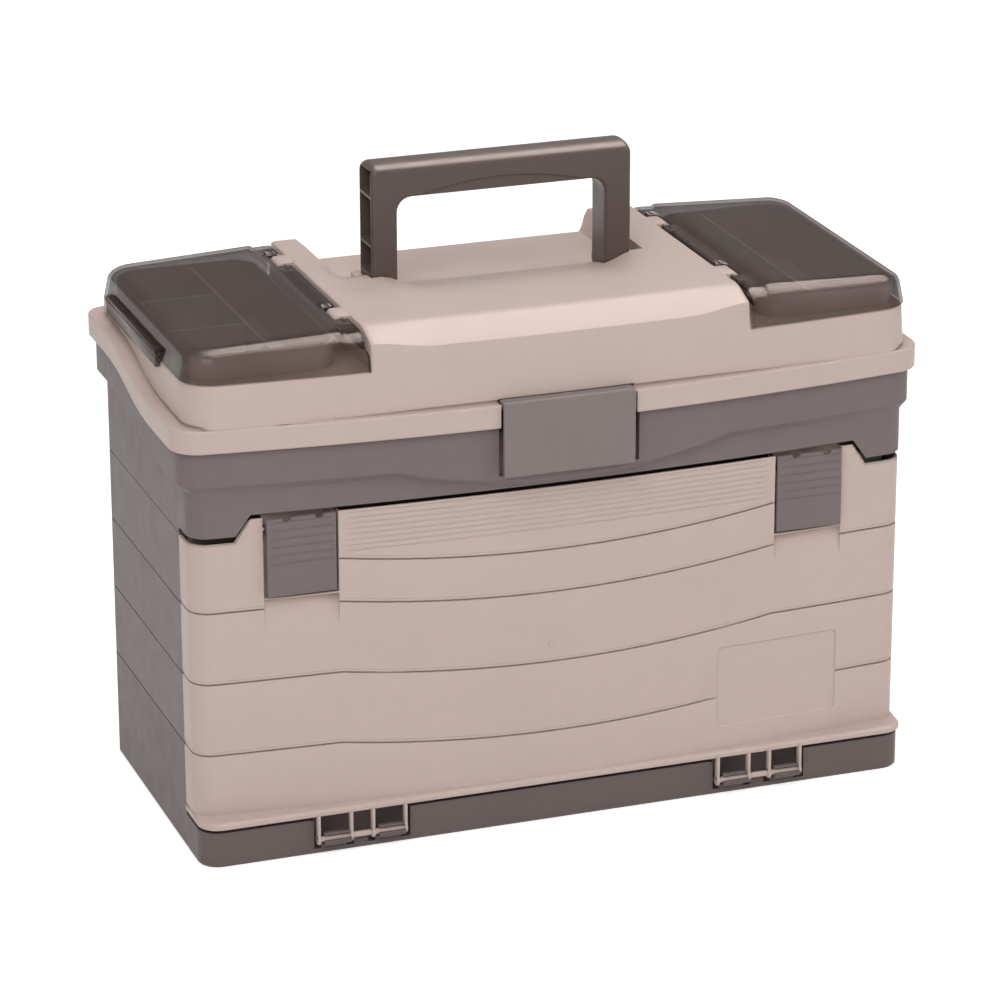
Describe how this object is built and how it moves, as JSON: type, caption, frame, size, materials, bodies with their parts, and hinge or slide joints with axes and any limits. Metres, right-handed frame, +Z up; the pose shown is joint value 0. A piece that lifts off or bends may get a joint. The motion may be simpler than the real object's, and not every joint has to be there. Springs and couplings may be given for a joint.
{
  "type": "drawer tackle box",
  "caption": "Tackle box with stacked drawers behind a drop-down front door, a bulk tray under a hinged lid, clear lids over side wells, and a folding handle.",
  "frame": {"origin": "middle of the flat underside, on the surface that the box stands on", "axes": "+X to the right seen from the front, -Y towards the front door, +Z up"},
  "size_m": [0.5128, 0.2495, 0.4256],
  "materials": {
    "tan_plastic": "finely grained moulded plastic",
    "grey_plastic": "finely grained moulded plastic",
    "smoke_clear": "glossy smoked clear plastic",
    "drawer_plastic": "smooth moulded plastic",
    "divider_plastic": "smooth moulded plastic",
    "steel": "zinc plated"
  },
  "bodies": {
    "cabinet": {"base_frame": "grey_plastic", "lower_frame": "grey_plastic", "middle_frame": "grey_plastic", "upper_frame": "grey_plastic", "top_tray": "grey_plastic", "stack_screws": "steel", "lid_hinge_pins": "steel"},
    "drawer_1": {"drawer_1": "drawer_plastic", "drawer_1_dividers": "divider_plastic"},
    "drawer_2": {"drawer_2": "drawer_plastic", "drawer_2_dividers": "divider_plastic"},
    "drawer_3": {"drawer_3": "drawer_plastic", "drawer_3_dividers": "divider_plastic"},
    "drawer_4": {"drawer_4": "drawer_plastic", "drawer_4_dividers": "divider_plastic"},
    "door": {"front_door": "tan_plastic", "door_latch_pin_left": "steel", "door_latch_pin_right": "steel"},
    "door_latch_left": {"door_latch_left": "grey_plastic"},
    "door_latch_right": {"door_latch_right": "grey_plastic"},
    "lid": {"lid_shell": "tan_plastic", "lid_latch_pin": "steel", "smoke_pins_left": "steel", "smoke_pins_right": "steel", "left_well_dividers": "divider_plastic", "right_well_divider": "divider_plastic", "handle_pins": "steel"},
    "lid_latch": {"lid_latch": "grey_plastic"},
    "smoke_lid_left": {"smoke_lid_left": "smoke_clear"},
    "smoke_lid_right": {"smoke_lid_right": "smoke_clear"},
    "handle": {"handle": "grey_plastic"}
  },
  "joints": [
    {"name": "door_hinge", "type": "hinge", "parent": "cabinet", "child": "door", "pos_m": [0, -0.1098, 0.0109], "axis": [1, 0, 0], "range_deg": [0, 90]},
    {"name": "drawer_1_slide", "type": "slide", "parent": "cabinet", "child": "drawer_1", "axis": [0, -1, 0], "range_m": [0, 0.15]},
    {"name": "drawer_2_slide", "type": "slide", "parent": "cabinet", "child": "drawer_2", "axis": [0, -1, 0], "range_m": [0, 0.15]},
    {"name": "drawer_3_slide", "type": "slide", "parent": "cabinet", "child": "drawer_3", "axis": [0, -1, 0], "range_m": [0, 0.15]},
    {"name": "drawer_4_slide", "type": "slide", "parent": "cabinet", "child": "drawer_4", "axis": [0, -1, 0], "range_m": [0, 0.0488]},
    {"name": "door_latch_left_hinge", "type": "hinge", "parent": "door", "child": "door_latch_left", "pos_m": [-0.1755, -0.09774, 0.226], "axis": [-1, 0, 0], "range_deg": [0, 40]},
    {"name": "door_latch_right_hinge", "type": "hinge", "parent": "door", "child": "door_latch_right", "pos_m": [0.1755, -0.09774, 0.226], "axis": [-1, 0, 0], "range_deg": [0, 40]},
    {"name": "lid_hinge", "type": "hinge", "parent": "cabinet", "child": "lid", "pos_m": [0, 0.1225, 0.299], "axis": [-1, 0, 0], "range_deg": [0, 100]},
    {"name": "lid_latch_hinge", "type": "hinge", "parent": "lid", "child": "lid_latch", "pos_m": [0, -0.1176, 0.2962], "axis": [-1, 0, 0], "range_deg": [0, 60]},
    {"name": "smoke_lid_left_hinge", "type": "hinge", "parent": "lid", "child": "smoke_lid_left", "pos_m": [-0.1356, 0, 0.3474], "axis": [0, 1, 0], "range_deg": [0, 100]},
    {"name": "smoke_lid_right_hinge", "type": "hinge", "parent": "lid", "child": "smoke_lid_right", "pos_m": [0.1356, 0, 0.3474], "axis": [0, -1, 0], "range_deg": [0, 100]},
    {"name": "handle_hinge", "type": "hinge", "parent": "lid", "child": "handle", "pos_m": [0, 0.028, 0.342], "axis": [-1, 0, 0], "range_deg": [0, 90]}
  ],
  "couplings": [
    {"joint": "drawer_1_slide", "follows": "door_hinge", "m_per_rad": 0.0954},
    {"joint": "drawer_2_slide", "follows": "door_hinge", "m_per_rad": 0.0954},
    {"joint": "drawer_3_slide", "follows": "door_hinge", "m_per_rad": 0.0954},
    {"joint": "drawer_4_slide", "follows": "door_hinge", "m_per_rad": 0.031}
  ]
}
